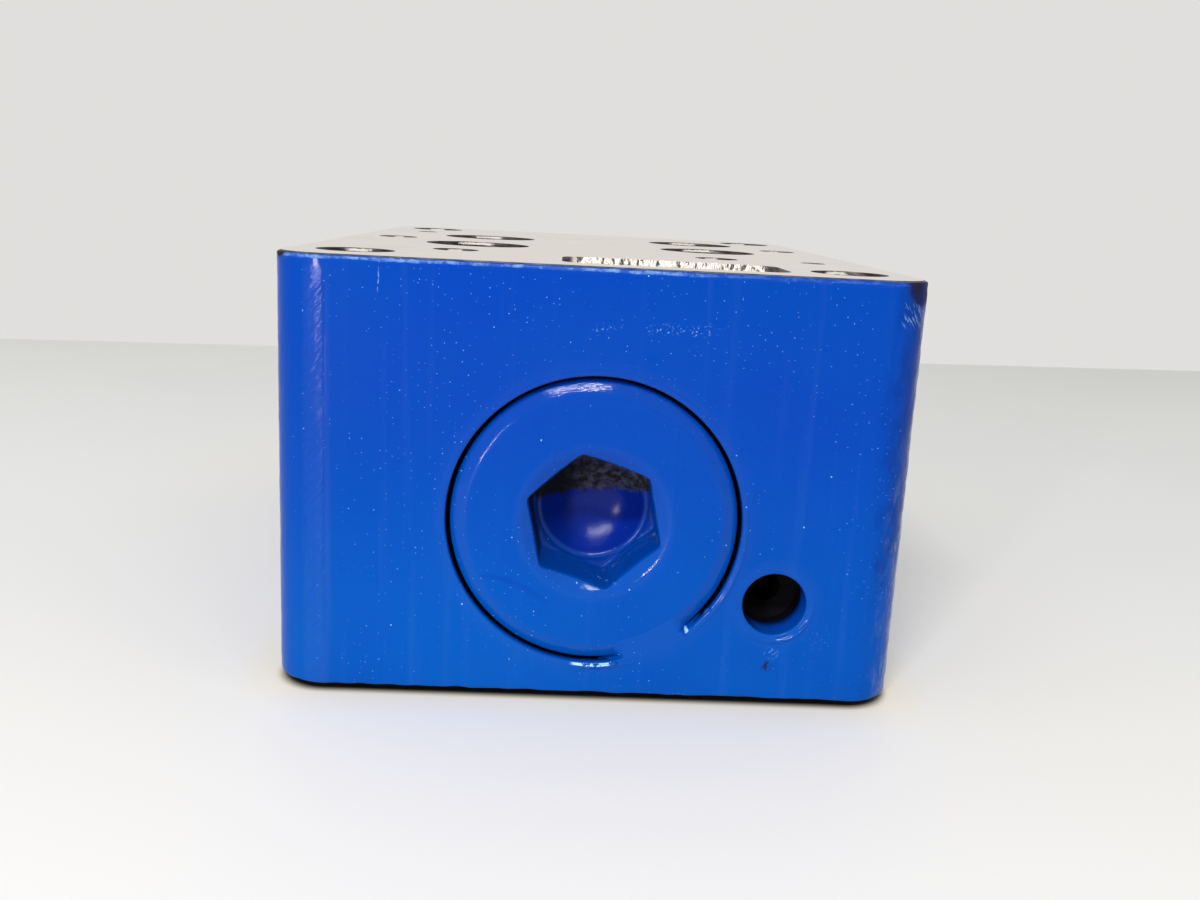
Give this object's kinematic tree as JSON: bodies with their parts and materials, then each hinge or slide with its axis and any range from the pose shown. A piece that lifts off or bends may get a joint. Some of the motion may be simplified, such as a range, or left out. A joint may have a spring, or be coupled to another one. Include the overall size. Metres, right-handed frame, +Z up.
{
  "type": "pressure compensating valve",
  "caption": "Sandwich-plate pressure compensator: a painted cast block with flush screw plugs, stack bolt holes, oil ports and a spring-loaded spool inside.",
  "frame": {"origin": "middle of the lower mounting face, on the spool's centre plane", "axes": "+Y along the spool from the plug seen in the picture to the rear plug, +Z up to the upper mounting face, +X to the right in the picture, the side of ports P and T"},
  "size_m": [0.0886, 0.126, 0.06],
  "materials": {
    "painted_casting": "gloss blue enamel on cast iron; mounting faces ground bare",
    "painted_plug": "gloss blue enamel on steel",
    "hardened_steel": "ground and honed",
    "plain_steel": "turned, oiled",
    "spring_steel": "phosphated wire, oiled",
    "seal_rubber": "matt black nitrile"
  },
  "bodies": {
    "housing": {"valve_body": "painted_casting", "front_screw_plug": "painted_plug", "rear_screw_plug": "painted_plug", "shuttle_bore_plug": "painted_plug", "spring_plate": "plain_steel", "preload_shim": "plain_steel", "compression_spring": "spring_steel", "shuttle_cage": "plain_steel", "shuttle_seat": "plain_steel", "tap_closing_ball": "hardened_steel", "front_plug_seal": "seal_rubber", "rear_plug_seal": "seal_rubber", "port_p_seal": "seal_rubber", "port_t_seal": "seal_rubber", "port_a_seal": "seal_rubber", "port_b_seal": "seal_rubber", "port_x_seal": "seal_rubber", "port_y_seal": "seal_rubber"},
    "spool_group": {"compensator_spool": "hardened_steel", "spool_orifice": "plain_steel"},
    "shuttle": {"shuttle_ball": "hardened_steel"}
  },
  "joints": [
    {"name": "spool_slide", "type": "slide", "parent": "housing", "child": "spool_group", "axis": [0, 1, 0], "range_m": [0, 0.0055], "stiffness_N_per_m": 20000, "springref_m": -0.001, "deforming": ["compression_spring"]},
    {"name": "shuttle_slide", "type": "slide", "parent": "housing", "child": "shuttle", "axis": [0, 1, 0], "range_m": [0, 0.001]}
  ]
}
